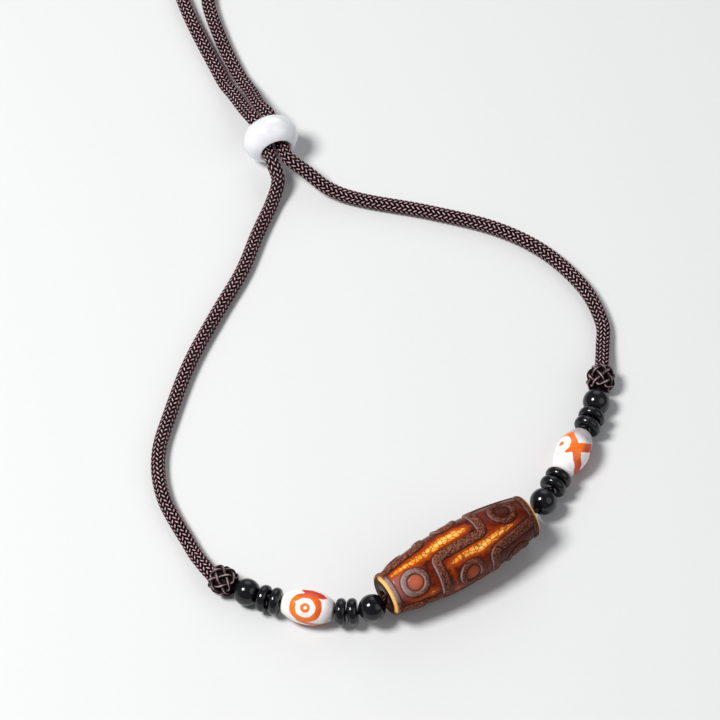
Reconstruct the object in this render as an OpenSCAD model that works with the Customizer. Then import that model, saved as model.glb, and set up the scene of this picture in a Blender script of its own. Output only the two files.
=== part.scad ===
// Dzi bead necklace, lying flat: a carved main bead, side beads on a thread, and a braided cord

/* [Main bead] */
// Length of the main bead
main_len = 37.3; // [30:0.1:44]
// Width of the main bead over its raised carving
main_dia = 14.2; // [12:0.2:17]
// Width of the main bead's cut ends
main_end_dia = 9.4; // [8:0.2:11]
// Bore of the main bead
main_bore = 2.6; // [2:0.2:3.6]
// Broken edge round each cut end
main_edge = 0.8; // [0.4:0.1:1.2]
// Height of the raised carving over the sunk field
relief = 0.35; // [0.2:0.05:0.6]
// Width of the raised bands
band_w = 2; // [1.4:0.1:2.4]
// Length of the raised ring at each end
end_ring_len = 1.6; // [1.2:0.1:2.4]
// Outer width of an eye's raised ring
eye_dia = 6.2; // [5.4:0.2:6.6]
// Width of the sunk disc inside an eye
eye_cup_dia = 3.9; // [3:0.1:4.3]

/* [Side beads] */
// Diameter of a round bead
round_dia = 6; // [5:0.25:7]
// Diameter of a disc bead
disc_dia = 6; // [5:0.25:7]
// Thickness of a disc bead
disc_len = 2.2; // [2:0.1:3]
// Rounding of a disc bead's rim
disc_edge = 1; // [0.6:0.05:1.1]
// Length of a barrel-shaped agate bead
agate_len = 11.4; // [9:0.2:13]
// Width of an agate bead at its middle
agate_dia = 7.7; // [6.5:0.1:9]
// Width of an agate bead's ends
agate_end_dia = 3.8; // [3:0.2:5]

/* [Cord and thread] */
// Diameter of the thread through the beads
thread_dia = 0.9; // [0.7:0.05:1.1]
// Room round the thread in a side bead
bore_clearance = 0.45; // [0.4:0.05:0.6]
// Room round the thread in a knot
knot_clearance = 0.3; // [0.2:0.05:0.4]
// Slack unit between beads
bead_slack = 0.5; // [0.45:0.05:0.7]
// Diameter of the braided cord
cord_dia = 3.2; // [2.8:0.1:3.6]
// Diameter of the wrapped knot at each end of the cord
knot_dia = 6; // [5:0.2:7]
// Length of a knot
knot_len = 5; // [4:0.2:6]
// Rounding of a knot's ends
knot_edge = 1.2; // [0.6:0.1:1.3]

/* [Slider] */
// Wall of the slider bead round its hole
slider_wall = 2.9; // [2.4:0.1:3.4]
// Length of the slider bead along its hole
slider_len = 8; // [6.5:0.5:9.5]
// Room between the two strands in the slider
strand_gap = 0.2; // [0.15:0.05:0.4]
// Room between a strand and the slider's hole
hole_clearance = 0.1; // [0.1:0.05:0.3]

/* [Hidden] */

// Smoothness of round surfaces, and sides of the swept thread and cord
$fn = 64;
tube_sides = 8;

// Sizes that follow from the ones above
main_r = main_dia / 2;
cord_r = cord_dia / 2;
bead_bore = thread_dia + 2 * bore_clearance;
knot_bore = thread_dia + 2 * knot_clearance;
knot_bore_depth = 0.6 * knot_len;
round_len = sqrt(round_dia * round_dia - bead_bore * bead_bore);
strand_offset = cord_r + strand_gap / 2;
slider_hole_r = strand_offset + cord_r + hole_clearance;
slider_r = slider_hole_r + slider_wall;
slider_reach = 0.75 * slider_len;

// Places on the floor: the middle of the main bead and of the slider, and the way each points
layout_shift = [-0.45, 0.44, 0];
main_at = layout_shift + [9.41, -50.49, main_r];
main_heading = 33;
slider_at = layout_shift + [-31.7, 60, slider_r];
slider_heading = 110;

// Kinds of piece on the thread, each with its length and its radius
ROUND = 0;
DISC = 1;
AGATE = 2;
KNOT = 3;
piece_len = [round_len, disc_len, agate_len, knot_len];
piece_r = [round_dia / 2, disc_dia / 2, agate_dia / 2, knot_dia / 2];

// The pieces on each side, counted outward from the main bead. Height 0 is level with the axis
// of the main bead, 1 with that of the agate and 2 with that of the outer round bead.
// kind, gap in slack units, heading of the gap, heading of the piece, tilt, height
left_chain = [
    [ROUND, 1.77, 263, 200, -24, 0.58],
    [DISC, 1.79, 132, 181, -7, 0.97],
    [DISC, 0.64, 181, 177, -3, 1],
    [AGATE, 0.74, 169, 169, 0, 1],
    [DISC, 0.6, 164, 164, -3, 1.1],
    [DISC, 0.87, 157, 158, -7, 1.5],
    [ROUND, 0.44, 145, 153, -5, 2],
    [KNOT, 0.95, 148, 149, 0, 2]
];
right_chain = [
    [ROUND, 6.42, 52, 62, -8, 0.88],
    [DISC, 1.29, 60, 62, -3, 0.98],
    [DISC, 0.8, 62, 62, -1, 1],
    [AGATE, 0.7, 62, 63, 0, 1],
    [DISC, 1.7, 64, 66, -3, 1.1],
    [DISC, 1.2, 69, 71, -7, 1.5],
    [ROUND, 0.9, 73, 76, -5, 2],
    [KNOT, 1.4, 80, 83, 0, 2]
];

// Route of the cord on the floor: x, y and lift over lying flat, from the right knot to the
// slider, round behind it and back to the slider, and from there to the left knot
right_route = [
    [42.5, 6, 0.4], [42.5, 13, 0], [38.5, 22.5, 0], [30, 32, 0], [19, 38.5, 0], [4, 43, 0],
    [-10, 46, 0], [-18, 48.5, 0.9], [-23.5, 52, 2.9]
];
neck_route = [
    [-34.5, 70.5, 3.2], [-36.5, 75.5, 1.4], [-40, 82.5, 0], [-44, 92.5, 0], [-47, 104, 0],
    [-45, 113.5, 0], [-36.5, 120.5, 0], [-22, 123, 0], [-6, 127, 0], [3.5, 140, 0],
    [2, 157, 0], [-9.5, 170.5, 0], [-27, 175, 0], [-44, 167.5, 0], [-55, 151, 0],
    [-58, 128, 0], [-53, 104, 0], [-44, 82, 0], [-40.5, 75, 1.4],
    [-37.5, 69, 3.2]
];
left_route = [
    [-30, 50, 2.2], [-31.5, 45, 0.2], [-34.5, 37, 0], [-38, 26.5, 0], [-43.5, 15, 0],
    [-49, 2.5, 0], [-53, -10.5, 0], [-55.5, -22, 0], [-54, -33, 0], [-48, -45, 0],
    [-45.5, -49.5, 0.8]
];

// Chain of pieces along the thread

// Unit vector at a heading over the floor and a tilt up from it
function way(heading, tilt = 0) =
    [cos(heading) * cos(tilt), sin(heading) * cos(tilt), sin(tilt)];

function mix(a, b, share) = a + (b - a) * share;

// Height of a piece's axis, never so low that the piece would sink into the floor
function axis_height(row) =
    let (wanted = row[5] < 1
        ? mix(main_r, agate_dia / 2, row[5])
        : mix(agate_dia / 2, round_dia / 2, row[5] - 1))
    max(wanted, piece_r[row[0]]);

// Places where the thread leaves the main bead to the left and to the right
left_mouth = main_at - way(main_heading) * main_len / 2;
right_mouth = main_at + way(main_heading) * main_len / 2;

// Centre of the piece in row i of a chain that starts at a mouth of the main bead
function piece_at(chain, mouth, i) =
    let (
        row = chain[i],
        from = i == 0 ? mouth : outer_end(chain, mouth, i - 1),
        c = from + way(row[2]) * row[1] * bead_slack + way(row[3], row[4]) * piece_len[row[0]] / 2
    )
    [c.x, c.y, axis_height(row)];

function half_axis(row) = way(row[3], row[4]) * piece_len[row[0]] / 2;
function outer_end(chain, mouth, i) = piece_at(chain, mouth, i) + half_axis(chain[i]);
function inner_end(chain, mouth, i) = piece_at(chain, mouth, i) - half_axis(chain[i]);

// The thread runs straight between the ends of a gap wider than this, and in a narrower gap it
// bends once, at this share of the way outward
wide_gap = 1;
bend_share = 0.42;

// Points of the thread in the gap before row i, from the main bead's side outward
function gap_points(chain, mouth, i) =
    let (
        a = i == 0 ? mouth : outer_end(chain, mouth, i - 1),
        b = inner_end(chain, mouth, i)
    )
    norm(b - a) > wide_gap ? [a, b] : [mix(a, b, bend_share)];

last = len(left_chain) - 1;
function knot_end(chain, mouth) =
    inner_end(chain, mouth, last) + way(chain[last][3]) * (knot_bore_depth - bore_clearance);
function side_thread(chain, mouth) =
    concat([for (i = [0 : last]) each gap_points(chain, mouth, i)], [knot_end(chain, mouth)]);
function reversed(list) = [for (i = [len(list) - 1 : -1 : 0]) list[i]];

// Smooth route of the cord

function laid(route) =
    [for (p = route) layout_shift + [p.x, p.y, p.z + cord_r]];

// A point in the slider: side 1 is the right strand, and reach is measured towards the back
function in_slider(side, reach) =
    slider_at + way(slider_heading - 90) * side * strand_offset + way(slider_heading) * reach;

// Catmull-Rom curve through all points but the first and last, which only steer its ends
function curve_at(a, b, c, d, t) =
    (2 * b + (c - a) * t + (2 * a - 5 * b + 4 * c - d) * t * t
        + (3 * b - a - 3 * c + d) * t * t * t) / 2;
// The curve may dip between two points, but the cord stays on the floor
function on_floor(p) = [p.x, p.y, max(p.z, cord_r)];
ring_step = 3 * cord_dia;
function smooth(p) = [
    for (i = [1 : len(p) - 3])
        let (parts = ceil(norm(p[i + 1] - p[i]) / ring_step))
        for (k = [0 : parts - 1])
            on_floor(curve_at(p[i - 1], p[i], p[i + 1], p[i + 2], k / parts)),
    p[len(p) - 2]
];

right_knot_at = piece_at(right_chain, right_mouth, last);
left_knot_at = piece_at(left_chain, left_mouth, last);
right_face = outer_end(right_chain, right_mouth, last);
left_face = outer_end(left_chain, left_mouth, last);
cord_points = concat(
    smooth(concat([right_knot_at, right_face], laid(right_route),
        [in_slider(1, -slider_reach), slider_at])),
    smooth(concat([slider_at, in_slider(1, slider_reach)], laid(neck_route),
        [in_slider(-1, slider_reach), slider_at])),
    smooth(concat([slider_at, in_slider(-1, -slider_reach)], laid(left_route),
        [left_face, left_knot_at]))
);

// Shapes

// A tube swept along points, with its end rings square to the two given ways
module tube(points, radius, first_way, last_way) {
    n = len(points);
    ways = [for (i = [0 : n - 1])
        i == 0 ? first_way : i == n - 1 ? last_way : points[i + 1] - points[i - 1]];
    rings = [for (i = [0 : n - 1])
        let (
            along = ways[i] / norm(ways[i]),
            across = cross([0, 0, 1], along) / norm(cross([0, 0, 1], along)),
            over = cross(along, across)
        )
        for (k = [0 : tube_sides - 1])
            let (turn = 360 * k / tube_sides)
            points[i] + radius * (cos(turn) * across + sin(turn) * over)];
    walls = [for (i = [0 : n - 2], k = [0 : tube_sides - 1])
        let (
            a = i * tube_sides + k,
            b = i * tube_sides + (k + 1) % tube_sides
        )
        each [[a, a + tube_sides, b], [b, a + tube_sides, b + tube_sides]]];
    polyhedron(rings, concat(
        [[for (k = [0 : tube_sides - 1]) k]],
        walls,
        [[for (k = [tube_sides - 1 : -1 : 0]) (n - 1) * tube_sides + k]]
    ));
}

// Half outline of a barrel whose side is one arc, with a broken edge at each end
module barrel_outline(length, dia, end_dia, edge) {
    rise = (dia - end_dia) / 2;
    arc_r = (length * length / 4 + rise * rise) / (2 * rise);
    steps = dia / 2 - end_dia / 2 + edge;
    intersection() {
        translate([dia / 2 - arc_r, 0]) circle(arc_r, $fn = 360);
        polygon([
            [0, -length / 2], [end_dia / 2 - edge, -length / 2], [dia / 2, steps - length / 2],
            [dia / 2, length / 2 - steps], [end_dia / 2 - edge, length / 2], [0, length / 2]
        ]);
    }
}

module barrel(length, dia, end_dia, edge) {
    rotate_extrude() barrel_outline(length, dia, end_dia, edge);
}

module bore(length, dia) {
    cylinder(h = length + 2, d = dia, center = true);
}

// A flat-faced disc with a rounded rim
module rounded_disc(length, dia, edge) {
    flat_r = dia / 2 - edge;
    rotate_extrude() {
        translate([0, -length / 2]) square([flat_r, length]);
        translate([0, edge - length / 2]) square([dia / 2, length - 2 * edge]);
        for (side = [-1, 1])
            translate([flat_r, side * (length / 2 - edge)]) circle(edge);
    }
}

// Puts a shape made along Z on the floor plan, pointing at a heading and a tilt
module pointed(at, heading, tilt = 0) {
    translate(at) rotate([0, 90 - tilt, heading]) children();
}

module on_left(i) {
    pointed(piece_at(left_chain, left_mouth, i), left_chain[i][3], left_chain[i][4]) children();
}

module on_right(i) {
    pointed(piece_at(right_chain, right_mouth, i), right_chain[i][3], right_chain[i][4])
        children();
}

module round_bead() {
    difference() {
        sphere(d = round_dia);
        bore(round_dia, bead_bore);
    }
}

module disc_bead() {
    difference() {
        rounded_disc(disc_len, disc_dia, disc_edge);
        bore(disc_len, bead_bore);
    }
}

module agate_bead() {
    difference() {
        barrel(agate_len, agate_dia, agate_end_dia, 0.08 * agate_end_dia);
        bore(agate_len, bead_bore);
    }
}

// The thread ends in a blind bore in the knot's inner face
module knot() {
    difference() {
        rounded_disc(knot_len, knot_dia, knot_edge);
        translate([0, 0, -knot_len / 2 - 1]) cylinder(h = knot_bore_depth + 1, d = knot_bore);
    }
}

// Carving of the main bead: one band and three eyes, repeated three times round it.
// Turns are degrees from the top towards the front, places are shares of the bead's length.

// Stretches of the band that run along the bead: turn, share where it starts, where it ends
band_runs = [
    [95, 0, 0.32],
    [11, 0.32, 0.657],
    [-71, 0.657, 1]
];
// Stretches that cross it: share along the bead, turn where it starts, where it ends
band_steps = [
    [0.32, 11, 95],
    [0.657, -71, 11]
];
// Eyes: share along the bead, turn
eyes = [
    [0.16, 33],
    [0.496, 72],
    [0.823, -12]
];
// Turns of the three repeats, unevenly spaced as carved by hand
repeat_turns = [0, 120, 228];
carving_reach = main_r + 1;

module band_run(turn, from, to) {
    rotate([0, 0, 180 + turn])
        translate([0, -band_w / 2, (from - 0.5) * main_len - band_w / 2])
            cube([carving_reach, band_w, (to - from) * main_len + band_w]);
}

module band_step(place, from, to) {
    rotate([0, 0, 180 + from])
        translate([0, 0, (place - 0.5) * main_len])
            rotate_extrude(angle = to - from)
                translate([0, -band_w / 2]) square([carving_reach, band_w]);
}

module eye(place, turn) {
    translate([0, 0, (place - 0.5) * main_len]) rotate([0, 90, 180 + turn])
        difference() {
            cylinder(h = carving_reach, d = eye_dia);
            cylinder(h = carving_reach + 1, d = eye_cup_dia);
        }
}

module end_ring(side) {
    translate([0, 0, side * (main_len - end_ring_len) / 2])
        cylinder(h = end_ring_len, r = carving_reach, center = true);
}

module carving() {
    for (side = [-1, 1]) end_ring(side);
    for (t = repeat_turns) rotate([0, 0, t]) {
        for (b = band_runs) band_run(b[0], b[1], b[2]);
        for (b = band_steps) band_step(b[0], b[1], b[2]);
        for (e = eyes) eye(e[0], e[1]);
    }
}

// Pieces

module main_bead() {
    color("saddlebrown") pointed(main_at, main_heading) difference() {
        union() {
            barrel(main_len, main_dia - 2 * relief, main_end_dia - 2 * relief, main_edge);
            intersection() {
                barrel(main_len, main_dia, main_end_dia, main_edge);
                carving();
            }
        }
        bore(main_len, main_bore);
    }
}

module left_inner_round() { color("black") on_left(0) round_bead(); }
module left_disc_1() { color("black") on_left(1) disc_bead(); }
module left_disc_2() { color("black") on_left(2) disc_bead(); }
module left_agate() { color("white") on_left(3) agate_bead(); }
module left_disc_3() { color("black") on_left(4) disc_bead(); }
module left_disc_4() { color("black") on_left(5) disc_bead(); }
module left_outer_round() { color("black") on_left(6) round_bead(); }
module left_knot() { color("darkred") on_left(7) knot(); }

module right_inner_round() { color("black") on_right(0) round_bead(); }
module right_disc_1() { color("black") on_right(1) disc_bead(); }
module right_disc_2() { color("black") on_right(2) disc_bead(); }
module right_agate() { color("white") on_right(3) agate_bead(); }
module right_disc_3() { color("black") on_right(4) disc_bead(); }
module right_disc_4() { color("black") on_right(5) disc_bead(); }
module right_outer_round() { color("black") on_right(6) round_bead(); }
module right_knot() { color("darkred") on_right(7) knot(); }

module bead_thread() {
    color("black") tube(
        concat(reversed(side_thread(left_chain, left_mouth)),
            side_thread(right_chain, right_mouth)),
        thread_dia / 2,
        -way(left_chain[last][3]),
        way(right_chain[last][3])
    );
}

// A smooth ring whose section is part of a circle as wide as the ring is long
module slider() {
    color("white") pointed(slider_at, slider_heading) rotate_extrude() difference() {
        translate([slider_r - slider_len / 2, 0]) circle(slider_len / 2);
        translate([-slider_len, -slider_len]) square([slider_len + slider_hole_r, 2 * slider_len]);
    }
}

module cord() {
    color("maroon") tube(cord_points, cord_r,
        way(right_chain[last][3]), -way(left_chain[last][3]));
}

main_bead();
left_inner_round();
left_disc_1();
left_disc_2();
left_agate();
left_disc_3();
left_disc_4();
left_outer_round();
left_knot();
right_inner_round();
right_disc_1();
right_disc_2();
right_agate();
right_disc_3();
right_disc_4();
right_outer_round();
right_knot();
bead_thread();
slider();
cord();
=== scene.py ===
"""Looks of a dzi bead necklace lying flat.

A carved main bead, side beads on a thread, two wrapped knots, and a braided cord through a slider.
"""

import logging
import math
from dataclasses import dataclass, field
from enum import Enum
from typing import Iterable, Sequence, Union

import bpy
import numpy as np
from mathutils import Matrix, Vector


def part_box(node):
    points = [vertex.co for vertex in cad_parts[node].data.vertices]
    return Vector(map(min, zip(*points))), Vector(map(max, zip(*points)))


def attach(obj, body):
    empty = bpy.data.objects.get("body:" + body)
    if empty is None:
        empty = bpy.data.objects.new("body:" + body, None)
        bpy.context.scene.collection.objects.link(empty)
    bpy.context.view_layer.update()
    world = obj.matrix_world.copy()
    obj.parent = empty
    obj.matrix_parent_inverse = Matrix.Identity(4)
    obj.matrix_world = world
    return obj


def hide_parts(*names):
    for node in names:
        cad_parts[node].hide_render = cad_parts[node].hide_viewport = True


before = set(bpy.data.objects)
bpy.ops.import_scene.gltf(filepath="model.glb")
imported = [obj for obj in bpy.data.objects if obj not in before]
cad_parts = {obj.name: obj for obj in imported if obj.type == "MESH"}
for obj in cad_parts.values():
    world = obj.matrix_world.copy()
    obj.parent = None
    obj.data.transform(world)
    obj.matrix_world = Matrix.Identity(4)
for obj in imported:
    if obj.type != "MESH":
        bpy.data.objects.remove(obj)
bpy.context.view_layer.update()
MM = 0.001
CAMERA_ELEVATION = 57.0
# The way that each piece's axis points over the floor, in degrees
HEADINGS = {"main_bead": 33.0, "left_knot": 149.0, "right_knot": 83.0, "slider": 110.0}
MAIN_LEN = 37.3
KNOT_LEN = 5.0
SLIDER_LEN = 8.0
log = logging.getLogger("necklace")
Point2 = tuple[float, float]
Colour = tuple[float, float, float]


# Finishes


class Field:
    """A number that varies over a surface; arithmetic on it adds Math nodes."""

    def __init__(self, shader: "Shader", socket: bpy.types.NodeSocket) -> None:
        """Wraps a node's output socket."""
        self.shader = shader
        self.socket = socket

    def __add__(self, other: "Number") -> "Field":
        """Sum."""
        return self.shader.maths("ADD", self, other)

    __radd__ = __add__

    def __sub__(self, other: "Number") -> "Field":
        """Difference."""
        return self.shader.maths("SUBTRACT", self, other)

    def __rsub__(self, other: "Number") -> "Field":
        """Difference with the number on the left."""
        return self.shader.maths("SUBTRACT", other, self)

    def __mul__(self, other: "Number") -> "Field":
        """Product."""
        return self.shader.maths("MULTIPLY", self, other)

    __rmul__ = __mul__

    def rise(self, low: float, high: float) -> "Field":
        """Smooth step that is 0 at low and 1 at high.

        Args:
            low: Value where the step starts.
            high: Value where it ends; below low, the step falls instead.

        Returns:
            The step, between 0 and 1.
        """
        settings = {"interpolation_type": "SMOOTHSTEP"}
        if low < high:
            ends = {"From Min": low, "From Max": high, "To Min": 0.0, "To Max": 1.0}
        else:
            ends = {"From Min": high, "From Max": low, "To Min": 1.0, "To Max": 0.0}
        node = self.shader.node("ShaderNodeMapRange", settings, {"Value": self, **ends})
        return Field(self.shader, node.outputs["Result"])


Number = Union[Field, float]
Tint = Union[bpy.types.NodeSocket, Colour]


class Shader:
    """The node tree of one finish, with a Principled surface at its end."""

    def __init__(self, name: str, **surface: float) -> None:
        """Starts a material.

        Args:
            name: Name of the material.
            surface: Constants of the surface, by socket name with spaces as underscores.
        """
        self.material = bpy.data.materials.new(name)
        self.material.use_nodes = True
        self.tree = self.material.node_tree
        self.surface = self.tree.nodes["Principled BSDF"]
        for key, value in surface.items():
            self.surface.inputs[key.replace("_", " ")].default_value = value

    def node(self, kind: str, settings: dict[str, object], sockets: dict) -> bpy.types.Node:
        """Adds a node.

        Args:
            kind: The node's type.
            settings: Attributes of the node, set first.
            sockets: Value, colour, Field or socket for each input, by name or number.

        Returns:
            The node.
        """
        node = self.tree.nodes.new(kind)
        for key, value in settings.items():
            setattr(node, key, value)
        for key, value in sockets.items():
            self.put(node.inputs[key], value)
        return node

    def put(self, socket: bpy.types.NodeSocket, value: object) -> None:
        """Links or sets an input.

        Args:
            socket: The input.
            value: A Field or socket to link, or a constant.
        """
        if isinstance(value, Field):
            self.tree.links.new(value.socket, socket)
        elif isinstance(value, bpy.types.NodeSocket):
            self.tree.links.new(value, socket)
        elif socket.type == "RGBA" and len(value) == 3:
            socket.default_value = (*value, 1.0)
        else:
            socket.default_value = value

    def maths(self, operation: str, *values: Number) -> Field:
        """Adds a Math node.

        Args:
            operation: The node's operation.
            values: Its inputs in order.

        Returns:
            Its result.
        """
        node = self.node("ShaderNodeMath", {"operation": operation}, dict(enumerate(values)))
        return Field(self, node.outputs[0])

    def mix(self, first: Tint, second: Tint, share: Number) -> bpy.types.NodeSocket:
        """Mixes two colours.

        Args:
            first: Colour at share 0.
            second: Colour at share 1.
            share: How much of the second colour shows.

        Returns:
            The mixed colour.
        """
        node = self.node("ShaderNodeMix", {"data_type": "RGBA"}, {0: share, 6: first, 7: second})
        return node.outputs[2]

    def coordinates(self) -> bpy.types.NodeSocket:
        """Object coordinates in metres."""
        return self.node("ShaderNodeTexCoord", {}, {}).outputs["Object"]

    def stored(self, name: str) -> Field:
        """The piece's own attribute of that name, as a number."""
        node = self.node("ShaderNodeAttribute", {"attribute_name": name}, {})
        return Field(self, node.outputs["Fac"])

    def noise(self, vector: bpy.types.NodeSocket, scale: float, detail: float = 2.0,
              roughness: float = 0.5, distortion: float = 0.0) -> Field:
        """Cloudy noise.

        Args:
            vector: Where it is read.
            scale: Clouds per unit of the vector.
            detail: Finer octaves.
            roughness: Strength of the finer octaves.
            distortion: How much the clouds are swirled.

        Returns:
            The noise, around 0.5.
        """
        node = self.node("ShaderNodeTexNoise", {}, {
            "Vector": vector, "Scale": scale, "Detail": detail,
            "Roughness": roughness, "Distortion": distortion,
        })
        return Field(self, node.outputs["Fac"])

    def cells(self, vector: bpy.types.NodeSocket, scale: float, feature: str) -> Field:
        """Distance in a field of cells.

        Args:
            vector: Where it is read.
            scale: Cells per unit of the vector.
            feature: F1 for the distance to a cell's middle, DISTANCE_TO_EDGE to its edge.

        Returns:
            The distance.
        """
        node = self.node("ShaderNodeTexVoronoi", {"feature": feature},
                         {"Vector": vector, "Scale": scale})
        return Field(self, node.outputs["Distance"])

    def bump(self, height: Field, strength: float, distance: float,
             below: bpy.types.NodeSocket | None = None) -> bpy.types.NodeSocket:
        """Bends the surface by a height.

        Args:
            height: Height from 0 to 1.
            strength: Share of the height that shows.
            distance: Depth in metres of a height of 1.
            below: Normal of a coarser bump under this one.

        Returns:
            The bent normal.
        """
        sockets = {"Height": height, "Strength": strength, "Distance": distance}
        if below is not None:
            sockets["Normal"] = below
        return self.node("ShaderNodeBump", {}, sockets).outputs["Normal"]

    def finish(self, **inputs: object) -> bpy.types.Material:
        """Feeds what varies to the surface.

        Args:
            inputs: Values or links by socket name, with spaces as underscores.

        Returns:
            The material.
        """
        for key, value in inputs.items():
            self.put(self.surface.inputs[key.replace("_", " ")], value)
        return self.material


@dataclass(frozen=True)
class BlackAgate:
    """Polished black agate of the round and disc beads."""

    colour: Colour = (0.004, 0.004, 0.005)
    haze: Colour = (0.012, 0.012, 0.014)

    def material(self) -> bpy.types.Material:
        """Makes the finish, with faint clouds and fine polishing marks.

        Returns:
            The material.
        """
        shader = Shader("black agate", IOR=1.5, Specular_IOR_Level=0.35, Coat_Weight=0.12,
                        Coat_Roughness=0.03)
        where = shader.coordinates()
        cloud = shader.noise(where, 420.0, 3.0)
        marks = shader.noise(where, 3800.0, 2.0)
        return shader.finish(
            Base_Color=shader.mix(self.colour, self.haze, cloud.rise(0.5, 0.75)),
            Roughness=0.08 + 0.10 * marks.rise(0.45, 0.7),
            Normal=shader.bump(marks, 0.10, 0.00002),
        )


@dataclass(frozen=True)
class CarvedAgate:
    """Amber-brown agate: glossy sunk fields with golden streaks that carry a painted glow, and matt
    grainy carving.
    """

    deep: Colour = (0.032, 0.005, 0.002)
    ember: Colour = (0.160, 0.016, 0.004)
    flame: Colour = (0.40, 0.052, 0.004)
    gold: Colour = (0.68, 0.225, 0.018)
    pale_gold: Colour = (0.90, 0.55, 0.15)
    crack: Colour = (0.15, 0.035, 0.004)
    # Pinkish colour of the painted sheen on the left end
    sheen_tint: Colour = (0.33, 0.115, 0.095)
    crust: Colour = (0.040, 0.009, 0.004)
    crust_pale: Colour = (0.245, 0.088, 0.052)
    # Dark of the painted shade in the groove at the carving's foot
    groove: Colour = (0.016, 0.005, 0.003)
    # Pale pink of the painted sheen and the painted highlight on the carving
    rim: Colour = (0.42, 0.30, 0.29)
    disc_dark: Colour = (0.060, 0.008, 0.004)
    disc_bright: Colour = (0.61, 0.115, 0.036)

    def material(self) -> bpy.types.Material:
        """Makes the finish, from the distances that the carving leaves on the piece.

        Returns:
            The material.
        """
        shader = Shader("carved agate", IOR=1.54, Emission_Strength=0.18, Specular_IOR_Level=0.06)
        where = shader.coordinates()
        raised, depth = shader.stored("raised"), shader.stored("depth")
        streak, painted_sheen = shader.stored("streak"), shader.stored("painted_sheen")
        cloud = shader.noise(where, 260.0, 4.0, 0.6, 0.8)
        fleck = shader.noise(where, 1300.0, 4.0, 0.7)
        grain = shader.noise(where, 4600.0, 3.0, 0.7)
        speck = shader.noise(where, 2600.0, 3.0, 0.75)
        cracks = shader.cells(where, 760.0, "DISTANCE_TO_EDGE").rise(0.11, 0.02)
        ragged = streak + 1.3 * (fleck - 0.5) + 0.6 * (cloud - 0.5)
        stone = shader.mix(self.deep, self.ember, (cloud + 0.25 * fleck).rise(0.42, 0.78))
        # Painted sheen: a pinkish veil over the fields at the left end of the bead
        stone = shader.mix(stone, self.sheen_tint, painted_sheen * (0.45 + 0.6 * cloud))
        stone = shader.mix(stone, self.flame, ragged.rise(-1.35, 0.0) * (0.55 + 0.6 * fleck))
        golden = ragged.rise(-0.05, 0.22)
        stone = shader.mix(stone, self.gold, golden)
        stone = shader.mix(stone, self.pale_gold, ragged.rise(0.30, 0.95) * (0.35 + cloud))
        stone = shader.mix(stone, self.crack, cracks * ragged.rise(-0.6, 0.2) * 0.85)
        disc = shader.mix(self.disc_dark, self.disc_bright,
                          shader.stored("ember") * (0.70 + 0.6 * fleck))
        # Painted sheen over the eye discs at the left end too
        disc = shader.mix(disc, self.sheen_tint, painted_sheen * 0.6)
        stone = shader.mix(stone, disc, shader.stored("disc").rise(0.0, 0.15))
        # Painted shade: darkens the sunk field in the groove along the carving's foot
        stone = shader.mix(stone, self.groove, depth.rise(-0.42, -0.12) * (1.0 - raised) * 0.85)
        mottle = (0.3 * fleck + 0.7 * speck).rise(0.42, 0.60)
        crust = shader.mix(self.crust, self.crust_pale, mottle)
        # Painted sheen over the carving at the left end
        crust = shader.mix(crust, self.rim, painted_sheen * (0.30 + 0.5 * fleck))
        # Painted highlight: pale pink on the carving's flanks that lean towards the left end
        crust = shader.mix(crust, self.rim, shader.stored("flank_highlight") * (0.35 + 0.7 * fleck))
        face = shader.mix(stone, crust, raised)
        # Painted shade: the right end of the bead is darkened, except on the golden streaks
        face = shader.mix(face, self.deep, shader.stored("right_end_shade") * (1.0 - golden) * 0.5)
        # Painted shade: the flat end faces are darkened
        face = shader.mix(face, self.deep, shader.stored("cut"))
        # Painted glow: the rims of the ends on the turns towards the light turn pale gold and glow
        lit_end = shader.stored("end")
        face = shader.mix(face, self.pale_gold, lit_end * (0.75 + 0.4 * cloud))
        shine = shader.maths("MAXIMUM", golden * (1.0 - raised) * (1.0 - 0.8 * cracks), lit_end)
        coarse = shader.bump(speck * raised, 0.9, 0.00018)
        return shader.finish(
            Base_Color=face,
            # The emission is a painted glow on the golden streaks and on the lit rims
            Emission_Color=shader.mix((0.0, 0.0, 0.0), self.gold, shine),
            Roughness=0.20 + 0.30 * raised + 0.10 * grain,
            Coat_Weight=0.07 - 0.06 * raised,
            Normal=shader.bump(grain * (0.15 + 0.85 * raised), 0.6, 0.00007, coarse),
        )


@dataclass(frozen=True)
class BandedAgate:
    """White agate with orange-red bands, whose edges the bead itself carries."""

    white: Colour = (0.84, 0.80, 0.78)
    # Grey that the bead turns towards one end and in clouds
    greying: Colour = (0.36, 0.32, 0.33)
    orange: Colour = (0.80, 0.165, 0.016)
    red: Colour = (0.52, 0.035, 0.008)

    def material(self) -> bpy.types.Material:
        """Makes the finish, from the bead's distances to its stain.

        Returns:
            The material.
        """
        shader = Shader("banded agate", IOR=1.54, Specular_IOR_Level=0.3, Coat_Weight=0.12,
                        Coat_Roughness=0.03, Subsurface_Weight=0.12, Subsurface_Scale=0.0015)
        where = shader.coordinates()
        cloud = shader.noise(where, 420.0, 3.0)
        wander = shader.noise(where, 800.0, 3.0, 0.6)
        stain = (shader.stored("stain") + 0.4 * (wander - 0.5)).rise(-0.10, 0.09)
        # Greyer towards one end of the bead, and in random clouds
        greying = shader.stored("greying") * (0.35 + cloud) + 0.3 * cloud.rise(0.55, 0.8)
        tint = shader.mix(self.orange, self.red, shader.stored("red") + 0.7 * (cloud - 0.5))
        return shader.finish(
            Base_Color=shader.mix(shader.mix(self.white, self.greying, greying), tint, stain),
            Roughness=0.10 + 0.10 * cloud,
        )


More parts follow.
